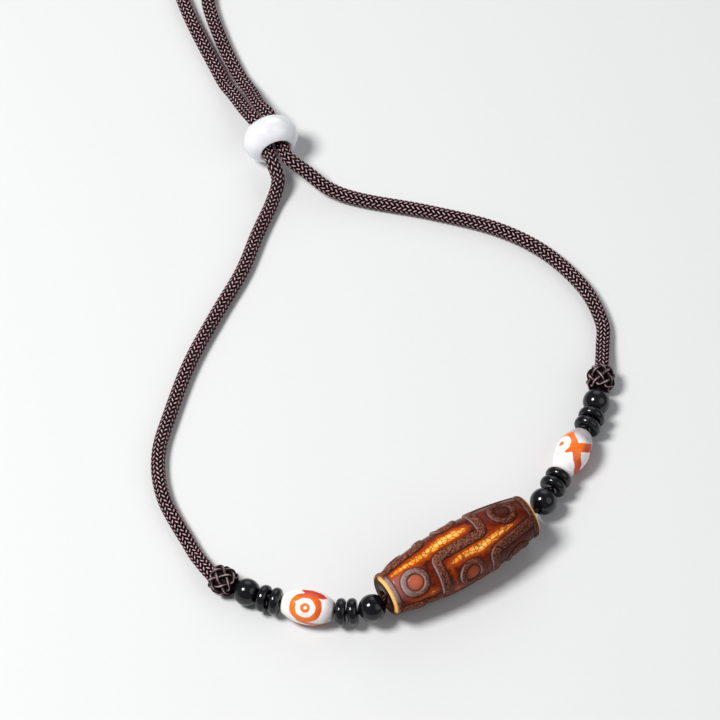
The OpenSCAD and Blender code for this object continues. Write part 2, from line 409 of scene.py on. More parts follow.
@dataclass(frozen=True)
class WhiteStone:
    """Milky white polished stone of the slider."""

    colour: Colour = (0.74, 0.745, 0.765)
    vein: Colour = (0.68, 0.69, 0.715)

    def material(self) -> bpy.types.Material:
        """Makes the finish, with soft clouds below a clear polish.

        Returns:
            The material.
        """
        shader = Shader("white stone", IOR=1.55, Coat_Weight=0.5, Coat_Roughness=0.04,
                        Subsurface_Weight=0.35, Subsurface_Scale=0.003)
        where = shader.coordinates()
        cloud = shader.noise(where, 160.0, 4.0, 0.55, 0.6)
        pores = shader.noise(where, 2600.0, 2.0)
        return shader.finish(
            Base_Color=shader.mix(self.colour, self.vein, cloud.rise(0.48, 0.7)),
            Roughness=0.12 + 0.14 * pores.rise(0.5, 0.75),
            Normal=shader.bump(pores, 0.08, 0.00003),
        )


@dataclass(frozen=True)
class Yarn:
    """Maroon-black yarn with a painted pinkish highlight on its crests."""

    shade: Colour = (0.004, 0.0011, 0.0017)
    # Colour of the painted highlight on the crests
    crest: Colour = (0.82, 0.52, 0.55)
    name: str = "braided yarn"

    def material(self) -> bpy.types.Material:
        """Makes the finish, with the painted highlight laid on by the crest attribute, and fine
        fibres.

        Returns:
            The material.
        """
        shader = Shader(self.name, IOR=1.5, Specular_IOR_Level=0.10)
        where = shader.coordinates()
        fibres = shader.noise(where, 9000.0, 2.0)
        patches = shader.noise(where, 260.0, 2.0)
        crest = shader.stored("crest")
        share = (crest * (0.55 + 0.9 * fibres)).rise(0.48, 1.02) * (0.60 + 0.8 * patches)
        return shader.finish(
            Base_Color=shader.mix(self.shade, self.crest, share),
            Roughness=0.62 - 0.22 * crest,
            Normal=shader.bump(fibres, 0.5, 0.00006),
        )


@dataclass(frozen=True)
class PaleFloor:
    """Plain pale floor."""

    colour: Colour = (0.62, 0.62, 0.615)

    def material(self) -> bpy.types.Material:
        """Makes the finish, matt with the faintest grain.

        Returns:
            The material.
        """
        shader = Shader("pale floor")
        grain = shader.noise(shader.coordinates(), 900.0, 3.0)
        lighter = tuple(min(1.0, 1.03 * part) for part in self.colour)
        return shader.finish(
            Base_Color=shader.mix(self.colour, lighter, grain),
            Roughness=0.75 + 0.1 * grain,
        )


# Modelling by hand: small steps that the pieces share


def only(piece: bpy.types.Object) -> None:
    """Selects one piece alone and makes it active.

    Args:
        piece: The piece.
    """
    bpy.ops.object.select_all(action="DESELECT")
    piece.select_set(True)
    bpy.context.view_layer.objects.active = piece


def way(heading: float, tilt: float = 0.0) -> Vector:
    """Makes a unit vector.

    Args:
        heading: Its heading over the floor in degrees.
        tilt: Its tilt up from the floor in degrees.

    Returns:
        The vector.
    """
    turn, lift = math.radians(heading), math.radians(tilt)
    flat = math.cos(lift)
    return Vector((math.cos(turn) * flat, math.sin(turn) * flat, math.sin(lift)))


def middle(node: str) -> Vector:
    """Middle of a CAD node's box."""
    low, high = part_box(node)
    return (low + high) / 2


def pointed(at: Vector, heading: float, tilt: float = 0.0) -> Matrix:
    """Makes the placement of a piece that was shaped about the Z axis.

    Args:
        at: Where its origin goes.
        heading: Where its axis then points over the floor, in degrees.
        tilt: How far its axis then rises from the floor, in degrees.

    Returns:
        The placement.
    """
    turn = Matrix.Rotation(math.radians(heading), 4, "Z")
    lay = Matrix.Rotation(math.radians(90.0 - tilt), 4, "Y")
    return Matrix.Translation(at) @ turn @ lay


def arc(middle_at: Point2, radius: float, start: float, end: float, steps: int) -> list[Point2]:
    """Points of an arc.

    Args:
        middle_at: Its middle.
        radius: Its radius.
        start: Angle of its first point in degrees.
        end: Angle of its last point in degrees.
        steps: Number of chords.

    Returns:
        The points, both ends included.
    """
    x, y = middle_at
    angles = [math.radians(start + (end - start) * i / steps) for i in range(steps + 1)]
    return [(x + radius * math.cos(a), y + radius * math.sin(a)) for a in angles]


def turned(name: str, outline: Sequence[Point2], steps: int) -> bpy.types.Object:
    """Turns a closed outline about the Z axis, as on a lathe.

    Args:
        name: Name of the piece.
        outline: Radius and height of each point in millimetres, round the section once.
        steps: Number of steps in the full turn.

    Returns:
        The smooth closed piece, at the origin.
    """
    bpy.ops.object.select_all(action="DESELECT")
    bpy.ops.mesh.primitive_plane_add(size=MM, location=(0, 0, 0))
    piece = bpy.context.object
    piece.name = piece.data.name = name
    bpy.ops.object.mode_set(mode="EDIT")
    bpy.ops.mesh.select_all(action="SELECT")
    bpy.ops.mesh.merge(type="CENTER")
    last = Vector((outline[0][0] * MM, 0, outline[0][1] * MM))
    bpy.ops.transform.translate(value=last)
    for radius, height in (*outline[1:], outline[0]):
        here = Vector((radius * MM, 0, height * MM))
        bpy.ops.mesh.extrude_region_move(TRANSFORM_OT_translate={"value": here - last})
        last = here
    bpy.ops.mesh.select_all(action="SELECT")
    bpy.ops.mesh.spin(steps=steps, angle=2 * math.pi, center=(0, 0, 0), axis=(0, 0, 1))
    bpy.ops.mesh.select_all(action="SELECT")
    bpy.ops.mesh.remove_doubles(threshold=0.0005 * MM)
    bpy.ops.mesh.normals_make_consistent(inside=False)
    bpy.ops.object.mode_set(mode="OBJECT")
    bpy.ops.object.shade_smooth()
    return piece


def copied(pattern: bpy.types.Object, name: str, place: Matrix) -> bpy.types.Object:
    """Copies a piece with a mesh of its own.

    Args:
        pattern: The piece to copy.
        name: Name of the copy.
        place: Where the copy goes; its object stays at the origin.

    Returns:
        The copy.
    """
    only(pattern)
    bpy.ops.object.duplicate()
    piece = bpy.context.object
    piece.name = piece.data.name = name
    piece.data.transform(place)
    return piece


def spots(piece: bpy.types.Object) -> np.ndarray:
    """Reads a piece's vertices.

    Args:
        piece: The piece.

    Returns:
        Their places in millimetres, one row each.
    """
    flat = np.zeros(3 * len(piece.data.vertices))
    piece.data.vertices.foreach_get("co", flat)
    return flat.reshape(-1, 3) / MM


def store(piece: bpy.types.Object, name: str, values: np.ndarray) -> None:
    """Keeps a number for each vertex, for the materials to read."""
    attribute = piece.data.attributes.new(name, "FLOAT", "POINT")
    attribute.data.foreach_set("value", values.astype(np.float32))


def meshed(name: str, vertices: np.ndarray, faces: Iterable[Sequence[int]]) -> bpy.types.Object:
    """Makes a smooth piece and selects it alone.

    Args:
        name: Name of the piece.
        vertices: Places in millimetres, one row each.
        faces: Indices of each face's vertices.

    Returns:
        The piece.
    """
    mesh = bpy.data.meshes.new(name)
    mesh.from_pydata((vertices * MM).tolist(), [], list(faces))
    piece = bpy.data.objects.new(name, mesh)
    bpy.context.scene.collection.objects.link(piece)
    only(piece)
    bpy.ops.object.shade_smooth()
    return piece


def dress(piece: bpy.types.Object, material: bpy.types.Material,
          nodes: Sequence[str] = ()) -> None:
    """Gives a piece its finish and its place in the frame.

    Args:
        piece: The finished piece.
        material: Its material.
        nodes: CAD nodes that it stands for.
    """
    piece.data.materials.clear()
    piece.data.materials.append(material)
    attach(piece, "root")
    if nodes:
        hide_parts(*nodes)
    log.info("%s: %d faces", piece.name, len(piece.data.polygons))


def smooth_step(value: np.ndarray, low: float, high: float) -> np.ndarray:
    """Smooth step from 0 at low to 1 at high, which may lie below low."""
    share = np.clip((value - low) / (high - low), 0, 1)
    return share * share * (3 - 2 * share)


def between(value: np.ndarray, rising: Point2, falling: Point2) -> np.ndarray:
    """Smooth step up over the first pair of values and down again over the second."""
    return smooth_step(value, *rising) * smooth_step(value, *falling[::-1])


# Cord


def tube_faces(rings: int, sides: int) -> list[list[int]]:
    """Joins rings of vertices into a closed tube.

    Args:
        rings: Number of rings, which run on from one another.
        sides: Vertices in each ring.

    Returns:
        The faces.
    """
    faces = [list(range(sides))[::-1]]
    for ring in range(rings - 1):
        base = ring * sides
        for k in range(sides):
            after = (k + 1) % sides
            faces.append([base + k, base + after, base + sides + after, base + sides + k])
    faces.append([(rings - 1) * sides + k for k in range(sides)])
    return faces


class Line:
    """A smooth centreline, read by the distance along it, in millimetres."""

    def __init__(self, points: np.ndarray) -> None:
        """Measures the line.

        Args:
            points: Close points of the line, one row each.
        """
        steps = np.linalg.norm(np.diff(points, axis=0), axis=1)
        self.points = points
        self.distance = np.concatenate([[0.0], np.cumsum(steps)])
        self.length = float(self.distance[-1])
        tangent = np.gradient(points, self.distance, axis=0)
        tangent /= np.linalg.norm(tangent, axis=1, keepdims=True)
        across = np.cross([0.0, 0.0, 1.0], tangent)
        across /= np.linalg.norm(across, axis=1, keepdims=True)
        self.frames = np.hstack([points, across, np.cross(tangent, across)])

    def read(self, along: np.ndarray) -> np.ndarray:
        """Point, side way and upper way of the line, nine numbers a row."""
        return np.stack([np.interp(along, self.distance, part) for part in self.frames.T], -1)

    def round_about(self, along: np.ndarray, turn: np.ndarray, reach: np.ndarray) -> np.ndarray:
        """Points round the line.

        Args:
            along: Distance along the line.
            turn: Angle round it in radians, from its side way to its upper way.
            reach: Distance from it.

        Returns:
            The points, one row each.
        """
        rows = self.read(along)
        side = np.cos(turn)[:, None] * rows[:, 3:6]
        return rows[:, 0:3] + reach[:, None] * (side + np.sin(turn)[:, None] * rows[:, 6:9])


@dataclass
class CordRoute:
    """Route of the cord, from the right knot twice through the slider to the left knot.

    The tables hold x, y and lift over lying flat, in millimetres, as the cord's solid has them.
    """

    cord_dia: float = 3.2
    braid_r: float = 1.65
    shift: tuple[float, float, float] = (-0.45, 0.44, 0.0)
    strand_gap: float = 0.2
    # Reach of the straight run on both sides of the slider's middle, as a share of its length
    straight_share: float = 0.75
    chords: int = 14
    right: tuple = (
        (42.5, 6, 0.4), (42.5, 13, 0), (38.5, 22.5, 0), (30, 32, 0), (19, 38.5, 0), (4, 43, 0),
        (-10, 46, 0), (-18, 48.5, 0.9), (-23.5, 52, 2.9),
    )
    neck: tuple = (
        (-34.5, 70.5, 3.2), (-36.5, 75.5, 1.4), (-40, 82.5, 0), (-44, 92.5, 0), (-47, 104, 0),
        (-45, 113.5, 0), (-36.5, 120.5, 0), (-22, 123, 0), (-6, 127, 0), (3.5, 140, 0),
        (2, 157, 0), (-9.5, 170.5, 0), (-27, 175, 0), (-44, 167.5, 0), (-55, 151, 0),
        (-58, 128, 0), (-53, 104, 0), (-44, 82, 0), (-40.5, 75, 1.4), (-37.5, 69, 3.2),
    )
    left: tuple = (
        (-30, 50, 2.2), (-31.5, 45, 0.2), (-34.5, 37, 0), (-38, 26.5, 0), (-43.5, 15, 0),
        (-49, 2.5, 0), (-53, -10.5, 0), (-55.5, -22, 0), (-54, -33, 0), (-48, -45, 0),
        (-45.5, -49.5, 0.8),
    )

    @property
    def cord_r(self) -> float:
        """Radius of the cord."""
        return self.cord_dia / 2

    def laid(self, route: Sequence[Sequence[float]]) -> list[Vector]:
        """Centres of the cord on the floor for a table's rows."""
        return [Vector(self.shift) + Vector((x, y, lift + self.cord_r)) for x, y, lift in route]

    def in_slider(self, side: int, reach: float) -> Vector:
        """Places a point on a strand in the slider.

        Args:
            side: 1 for the right strand, -1 for the left one.
            reach: Distance behind the slider's middle.

        Returns:
            The point.
        """
        heading = HEADINGS["slider"]
        offset = self.cord_r + self.strand_gap / 2
        at = middle("slider") / MM + way(heading - 90) * side * offset
        return at + way(heading) * reach

    def face(self, node: str) -> Vector:
        """Middle of a knot's outer face, where the cord comes out."""
        return middle(node) / MM + way(HEADINGS[node]) * KNOT_LEN / 2

    def stretches(self) -> list[list[Vector]]:
        """Lists the points of the three stretches.

        Returns:
            The points, with a steering point before and after each stretch.
        """
        reach = self.straight_share * SLIDER_LEN
        slider = middle("slider") / MM
        return [
            [middle("right_knot") / MM, self.face("right_knot"), *self.laid(self.right),
             self.in_slider(1, -reach), slider],
            [slider, self.in_slider(1, reach), *self.laid(self.neck),
             self.in_slider(-1, reach), slider],
            [slider, self.in_slider(-1, -reach), *self.laid(self.left), self.face("left_knot"),
             middle("left_knot") / MM],
        ]

    def line(self) -> tuple[Line, list[float]]:
        """Runs one smooth curve through all the stretches.

        Returns:
            The line, and the distances along it of the slider's middle at both passes.
        """
        points, passes = [], []
        for stretch in self.stretches():
            if points:
                passes.append((len(points), points[-1]))
            rows = np.array(stretch)
            for a, b, c, d in zip(rows, rows[1:], rows[2:], rows[3:]):
                for t in np.arange(self.chords) / self.chords:
                    steer = (c - a) * t + (2 * a - 5 * b + 4 * c - d) * t ** 2
                    points.append((2 * b + steer + (3 * b - a - 3 * c + d) * t ** 3) / 2)
            points.append(rows[-2])
        centres = np.array(points)
        centres[:, 2] = np.maximum(centres[:, 2], self.braid_r)
        line = Line(centres)
        cuts = [(line.distance[i - 1] + line.distance[i]) / 2 for i, _ in passes]
        return line, cuts


@dataclass
class Braid:
    """Round braid: half of the yarns wind to each side, over two and under two."""

    outer_dia: float = 3.3
    yarns_each_way: int = 12
    lay: float = 14.4
    yarn_half_width: float = 0.37
    yarn_half_height: float = 0.23
    sway: float = 0.14
    core_sides: int = 16
    core_step: float = 1.2
    # A yarn's crossings between one float and the next
    repeat: int = 4
    # How far a yarn's shaped places stay from its ends, and its width at the ends
    end_margin: float = 0.05
    end_width: float = 0.6
    # Places where a yarn is shaped, in crossings from the middle of a float, and its width there
    beats: tuple = ((-1.0, 0.86), (-0.5, 1.0), (0.0, 1.0), (0.5, 1.0), (1.0, 0.86), (2.0, 0.8))

    def build(self, line: Line, cuts: Sequence[float]) -> list[bpy.types.Object]:
        """Makes the core and its braided sleeves.

        Args:
            line: The cord's centreline.
            cuts: Distances where one sleeve ends and the next begins.

        Returns:
            The core, then the sleeves.
        """
        edges = [0.0, *cuts, line.length]
        names = ("braid_right", "braid_behind", "braid_left")
        sleeves = [self.sleeve(name, line, start, end)
                   for name, start, end in zip(names, edges, edges[1:])]
        return [self.core(line), *sleeves]

    def core(self, line: Line) -> bpy.types.Object:
        """Makes the dark core inside the braid.

        Args:
            line: The cord's centreline.

        Returns:
            The core.
        """
        along = np.linspace(0, line.length, int(line.length / self.core_step))
        sides = self.core_sides
        turn = np.tile(np.arange(sides) * 2 * math.pi / sides, len(along))
        reach = np.full(len(turn), self.outer_dia / 2 - 2 * self.yarn_half_height)
        vertices = line.round_about(np.repeat(along, sides), turn, reach)
        faces = tube_faces(len(along), sides)
        piece = meshed("braided_cord", vertices, faces)
        store(piece, "crest", np.zeros(len(vertices)))
        return piece

    def sleeve(self, name: str, line: Line, start: float, end: float) -> bpy.types.Object:
        """Makes the yarns of one stretch.

        Args:
            name: Name of the sleeve.
            line: The cord's centreline.
            start: Distance along it where the sleeve starts.
            end: Distance where it ends.

        Returns:
            The sleeve, one mesh of all its yarns.
        """
        vertices, faces, crests = [], [], []
        count = 0
        for winding in (1, -1):
            for yarn in range(self.yarns_each_way):
                rings, crest = self.yarn(line, start, end, winding, yarn)
                faces += [[count + i for i in face] for face in tube_faces(len(rings) // 4, 4)]
                count += len(rings)
                vertices.append(rings)
                crests.append(crest)
        piece = meshed(name, np.vstack(vertices), faces)
        store(piece, "crest", np.concatenate(crests))
        return piece

    def yarn(self, line: Line, start: float, end: float, winding: int,
             index: int) -> tuple[np.ndarray, np.ndarray]:
        """Shapes one yarn as rings of four points: an edge, the crest, the other edge, the foot.

        Args:
            line: The cord's centreline.
            start: Distance where it starts.
            end: Distance where it ends.
            winding: 1 or -1, the way it winds.
            index: Which of the yarns of that winding.

        Returns:
            The points, and how far each lies on a crest.
        """
        crossings = 2 * self.yarns_each_way
        per_mm = crossings / self.lay
        repeat = self.repeat
        low = math.floor(start * per_mm / repeat - 2) * repeat
        high = math.ceil(end * per_mm / repeat + 2) * repeat
        over_at = 0.5 if winding == 1 else 2.5
        offset = winding * (over_at - 2 * index)
        beats = np.array(self.beats)
        periods = np.arange(low, high, repeat)
        place = (periods[:, None] + beats[None, :, 0]).ravel() + offset % repeat
        width = np.tile(beats[:, 1], len(periods))
        phase = np.tile(beats[:, 0], len(periods))
        along = place / per_mm
        inside = (along > start + self.end_margin) & (along < end - self.end_margin)
        along, width, phase = along[inside], width[inside], phase[inside]
        along = np.concatenate([[start], along, [end]])
        width = np.concatenate([[self.end_width], width, [self.end_width]])
        phase = np.concatenate([[repeat / 2], phase, [repeat / 2]])
        turn = winding * 2 * math.pi * along / self.lay + 2 * math.pi * index / self.yarns_each_way
        lift = np.cos(math.pi / 2 * phase)
        reach = self.outer_dia / 2 - self.yarn_half_height - self.sway + self.sway * lift
        slant = math.atan2(math.pi * self.outer_dia, self.lay)
        half = self.yarn_half_width * width
        step = winding * half * math.sin(slant)
        swing = half * math.cos(slant) / reach
        rings_along = np.stack([along + step, along, along - step, along], -1)
        rings_turn = np.stack([turn - swing, turn, turn + swing, turn], -1)
        rise = self.yarn_half_height
        rings_reach = np.stack([reach, reach + rise, reach, reach - rise], -1)
        rings_along = np.clip(rings_along, start, end)
        rings = line.round_about(rings_along.ravel(), rings_turn.ravel(), rings_reach.ravel())
        crest = np.zeros_like(rings_along)
        crest[:, 1] = np.clip(0.15 + 0.85 * (lift + 0.1), 0, 1)
        return rings, crest.ravel()


@dataclass
class Cord:
    """The braided cord, from knot to knot."""

    route: CordRoute = field(default_factory=CordRoute)
    braid: Braid = field(default_factory=Braid)

    def build(self) -> None:
        line, cuts = self.route.line()
        pieces = self.braid.build(line, cuts)
        material = Yarn().material()
        dress(pieces[0], material, ("cord",))
        for piece in pieces[1:]:
            dress(piece, material)
        log.info("cord: %.0f mm", line.length)


@dataclass
class Knot:
    """Woven knot: one thin cord winds over and under itself round a core."""

    node: str
    reach: float = 2.62
    end_reach: float = 1.75
    half_len: float = 2.45
    leads: int = 5
    bights: int = 7
    cord_r: float = 0.42
    sway: float = 0.26
    points: int = 520
    core_inset: float = 0.15
    core_edge: float = 0.9
    core_hole_r: float = 0.6
    core_steps: int = 40
    # How much the height along the axis counts in the way that a crest faces
    height_share: float = 0.35

    def winding(self) -> np.ndarray:
        """Winds the thin cord about the Z axis.

        Returns:
            Its centres in millimetres, one row each.
        """
        visits = sorted({round((n / self.bights + k / self.leads) % 2, 9)
                         for n in range(2 * self.bights) for k in range(1, self.leads)})
        visits = np.array([*visits, visits[0] + 2]) * math.pi
        t = np.arange(self.points) / self.points * 2 * math.pi + visits[0]
        t = np.where(t > visits[-1], t - 2 * math.pi, t)
        over = np.cos(math.pi * np.interp(t, visits, np.arange(len(visits))))
        height = np.cos(self.bights * t)
        reach = self.end_reach + (self.reach - self.end_reach) * (1 - np.abs(height) ** 3)
        reach = reach + self.sway * over
        turn = self.leads * t
        return np.stack([reach * np.cos(turn), reach * np.sin(turn), self.half_len * height], -1)

    def build(self) -> None:
        """Winds the cord over a turned core, joins them and dresses the knot."""
        # The knot's yarn has a paler painted highlight on its crests
        yarn = Yarn(shade=(0.005, 0.002, 0.0025), crest=(0.50, 0.34, 0.35), name="knot yarn")
        place = pointed(middle(self.node), HEADINGS[self.node])
        wound = self.wound_cord()
        store(wound, "crest", self.crests(wound))
        wound.data.transform(place)
        core = turned(f"{self.node}_core", self.core_outline(), self.core_steps)
        store(core, "crest", np.zeros(len(core.data.vertices)))
        core.data.transform(place)
        wound.select_set(True)
        bpy.context.view_layer.objects.active = wound
        bpy.ops.object.join()
        dress(wound, yarn.material(), (self.node,))

    def core_outline(self) -> list[Point2]:
        """Draws the core's section: a short drum, open where the thread enters.

        Returns:
            Radius and height of each point.
        """
        half, edge, hole_r = self.half_len, self.core_edge, self.core_hole_r
        flat_r = self.reach - self.sway - self.core_inset - edge
        return [(hole_r, 0), (hole_r, -half), (flat_r, -half),
                *arc((flat_r, edge - half), edge, -75, 0, 6),
                *arc((flat_r, half - edge), edge, 0, 75, 6),
                (flat_r, half), (hole_r, half)]

    def wound_cord(self) -> bpy.types.Object:
        """Makes the thin cord as a closed round curve, and turns it into a mesh.

        Returns:
            The mesh piece, about the Z axis.
        """
        curve = bpy.data.curves.new(f"{self.node}_winding", "CURVE")
        curve.dimensions = "3D"
        curve.bevel_depth = self.cord_r * MM
        curve.bevel_resolution = 1
        centres = self.winding() * MM
        spline = curve.splines.new("POLY")
        spline.points.add(len(centres) - 1)
        spline.points.foreach_set("co", np.hstack([centres, np.ones((len(centres), 1))]).ravel())
        spline.use_cyclic_u = True
        wound = bpy.data.objects.new(f"wound_{self.node}", curve)
        bpy.context.scene.collection.objects.link(wound)
        only(wound)
        bpy.ops.object.convert(target="MESH")
        bpy.ops.object.shade_smooth()
        return bpy.context.object

    def crests(self, wound: bpy.types.Object) -> np.ndarray:
        """Finds the crests of the thin cord.

        Args:
            wound: The thin cord, about the Z axis.

        Returns:
            How much each vertex faces away from the knot's middle, from 0 to 1.
        """
        rows = spots(wound)
        normals = np.array([vertex.normal for vertex in wound.data.vertices])
        out = rows * [1, 1, self.height_share]
        out /= np.linalg.norm(out, axis=1, keepdims=True)
        return np.clip((normals * out).sum(1), 0, 1) ** 3


# Beads


def signed(turn: np.ndarray) -> np.ndarray:
    """Turns in degrees, brought between -180 and 180."""
    return (turn + 180) % 360 - 180


def chart_reach(rows: Sequence[Sequence[float]], along: np.ndarray, turn: np.ndarray,
                radius: np.ndarray) -> list[np.ndarray]:
    """Measures a stroke drawn on a turned bead.

    Args:
        rows: Points of the stroke: place along the bead, turn in degrees, half width.
        along: Place of each vertex along the bead.
        turn: Turn of each vertex.
        radius: Distance of each vertex from the bead's axis.

    Returns:
        For each stretch of the stroke, how far inside its edge each vertex lies.
    """
    inside = []
    for (place_a, turn_a, half_a), (place_b, turn_b, half_b) in zip(rows, rows[1:]):
        centre = (turn_a + turn_b) / 2
        arc_mm = np.radians(radius)
        side = signed(turn - centre) * arc_mm
        side_a, side_b = (turn_a - centre) * arc_mm, (turn_b - centre) * arc_mm
        run, swing = place_b - place_a, side_b - side_a
        share = ((along - place_a) * run + (side - side_a) * swing) / (run ** 2 + swing ** 2 + 1e-9)
        share = np.clip(share, 0, 1)
        away = np.hypot(along - place_a - share * run, side - side_a - share * swing)
        inside.append(half_a + (half_b - half_a) * share - away)
    return inside


@dataclass(frozen=True)
class Stain:
    """Orange pattern of an agate: ringed eyes and strokes.

    Places are millimetres from the bead's middle along its axis, turns are degrees from the side
    that faces the camera, and half widths are millimetres.
    """

    eyes: tuple
    dot_r: float
    ring_in: float
    ring_out: float
    strokes: tuple
    # Places along the bead where the greying starts and where it is full
    greying: Point2
    # Distances across the bead where the orange starts to turn red and where it is red
    red: Point2
    # Places along the bead between which its far end turns a little red, and how much
    red_end: Point2 = (-0.5, -3.5)
    red_end_share: float = 0.6
    # Radius of the pale middle of an eye's dot
    pale_r: float = -1.0
    # Radius within which the end faces and the bore stay clear of stain, as a share of the bead's
    clear_share: float = 0.35

    def mark(self, piece: bpy.types.Object, place: Matrix, widest: float) -> None:
        """Keeps each vertex's distance inside the stain, its redness and its greying towards one
        end.

        Args:
            piece: The bead, in its place.
            place: Where it is.
            widest: Radius of the bead's middle.
        """
        axis = place.to_3x3() @ Vector((0, 0, 1))
        out = way(-90.0, CAMERA_ELEVATION)
        out = (out - out.dot(axis) * axis).normalized()
        rows = (spots(piece) - np.array(place.translation) / MM) @ np.array(
            [axis, axis.cross(out), out]).T
        along, across = rows[:, 0], rows[:, 1]
        turn = np.degrees(np.arctan2(across, rows[:, 2]))
        radius = np.hypot(across, rows[:, 2])
        eye = -np.max([chart_reach(((a, t, 0), (a, t, 0)), along, turn, radius)[0]
                       for a, t in self.eyes], axis=0)
        strokes = [reach for stroke in self.strokes
                   for reach in chart_reach(stroke, along, turn, radius)]
        ring = np.minimum(eye - self.ring_in, self.ring_out - eye)
        outside = np.minimum(np.max(strokes, axis=0), eye - self.ring_in)
        stain = np.max([ring, outside, self.dot_r - eye], axis=0)
        stain = np.where(eye < self.dot_r, np.minimum(stain, eye - self.pale_r), stain)
        skin = radius > self.clear_share * widest
        end_red = self.red_end_share * smooth_step(along, *self.red_end)
        store(piece, "stain", np.where(skin, np.maximum(stain, -2.0), -2.0))
        store(piece, "red", np.maximum(smooth_step(across, *self.red), end_red))
        # Greyer towards one end
        store(piece, "greying", smooth_step(along, *self.greying))


LEFT_STAIN = Stain(
    eyes=((0.2, -1), (0.2, 179)), dot_r=1.05, ring_in=2.2, ring_out=3.5,
    strokes=(((1.3, 66, 0.4), (-0.6, 54, 1.3), (-2.7, 56, 0.9), (-3.9, 58, 0.2)),
             ((1.5, -50, 0.5), (-0.7, -62, 0.6), (-4.1, -80, 0.5)),
             ((1.8, 250, 0.7), (-3.9, 235, 0.6)), ((3.3, 120, 0.5), (-5.0, 118, 0.4))),
    greying=(-3.2, -5.4), red=(1.7, 3.0), pale_r=0.42)
RIGHT_STAIN = Stain(
    eyes=((-0.7, -57), (-1.0, 187)), dot_r=0.6, ring_in=2.25, ring_out=2.27,
    strokes=(((-0.7, -3, 1.05), (2.3, -46, 0.85), (1.6, -100, 0.7)),
             ((-0.7, -3, 1.05), (2.2, 55, 0.95), (0.6, 82, 0.8), (-2.0, 90, 0.8), (-4.0, 100, 0.7)),
             ((-0.7, -3, 1.0), (-2.5, 22, 0.9), (-3.9, 62, 0.85), (-4.2, 100, 0.7)),
             ((-0.7, -3, 0.9), (-2.2, -24, 0.45)), ((-2.2, -24, 0.1), (-3.7, -76, 0.0)),
             ((2.2, 100, 0.7), (-0.9, 128, 0.8), (-4.2, 100, 0.6)),
             ((1.6, -100, 0.7), (-0.9, -118, 0.8), (-3.7, -120, 0.6))),
    greying=(1.2, 3.4), red=(0.8, 2.8))


class Kind(Enum):
    """Kinds of side bead."""

    ROUND = "round"
    DISC = "disc"
    AGATE = "agate"


